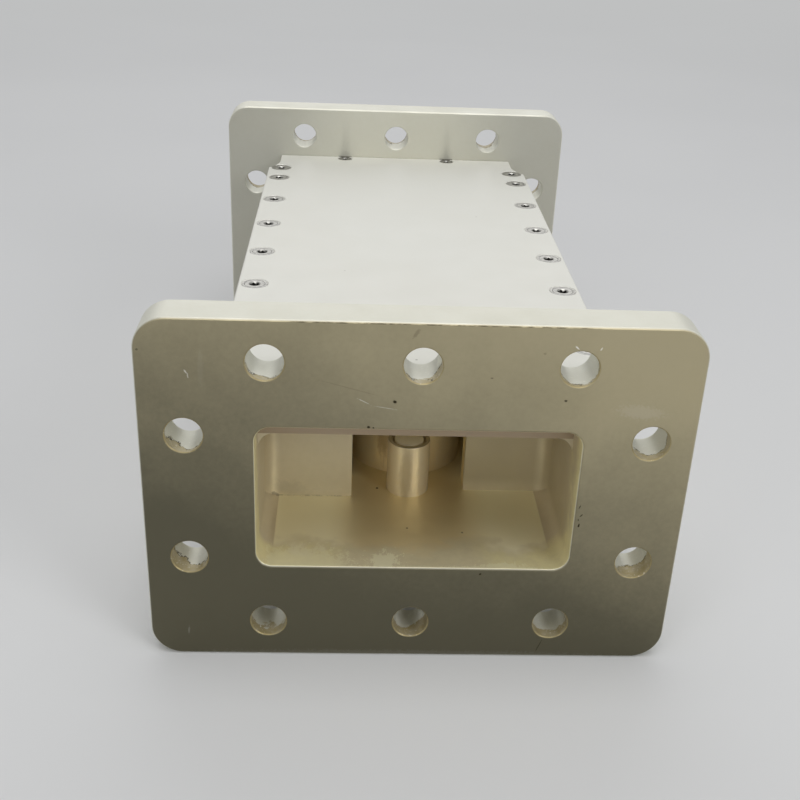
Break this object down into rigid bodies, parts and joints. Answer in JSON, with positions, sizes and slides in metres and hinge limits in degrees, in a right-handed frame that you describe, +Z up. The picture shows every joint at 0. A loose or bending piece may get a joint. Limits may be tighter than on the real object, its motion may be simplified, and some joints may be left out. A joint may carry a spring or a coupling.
{
  "type": "waveguide bandpass filter",
  "caption": "Rectangular waveguide bandpass filter: necked housing with a screwed top cover, round resonators and iris posts inside, and a bolt flange at each end.",
  "frame": {"origin": "centre of the waveguide opening on the front port's mating face", "axes": "+Y along the waveguide to the rear port, +Z up towards the screwed cover, +X to the right seen from the front port"},
  "size_m": [0.0984, 0.168, 0.0698],
  "materials": {
    "plated_housing": "satin silver plating",
    "plated_flange": "satin silver plating, lightly scuffed",
    "plated_cover": "satin silver plating",
    "plated_resonator": "turned and silver plated",
    "plated_rod": "turned and silver plated",
    "steel_screw": "plain stainless steel",
    "steel_nut": "plain stainless steel"
  },
  "bodies": {
    "root": {"housing": "plated_housing", "front_flange": "plated_flange", "rear_flange": "plated_flange", "top_cover": "plated_cover", "cover_screws_left": "steel_screw", "cover_screws_right": "steel_screw", "cover_end_screws_front": "steel_screw", "cover_end_screws_rear": "steel_screw", "resonator_1": "plated_resonator", "resonator_rod_1": "plated_rod", "resonator_nut_1": "steel_nut", "resonator_2": "plated_resonator", "resonator_rod_2": "plated_rod", "resonator_nut_2": "steel_nut", "resonator_3": "plated_resonator", "resonator_rod_3": "plated_rod", "resonator_nut_3": "steel_nut", "coupling_post_1": "plated_resonator", "coupling_rod_1": "plated_rod", "coupling_nut_1": "steel_nut", "coupling_post_2": "plated_resonator", "coupling_rod_2": "plated_rod", "coupling_nut_2": "steel_nut", "coupling_post_3": "plated_resonator", "coupling_rod_3": "plated_rod", "coupling_nut_3": "steel_nut", "coupling_post_4": "plated_resonator", "coupling_rod_4": "plated_rod", "coupling_nut_4": "steel_nut"}
  },
  "joints": []
}
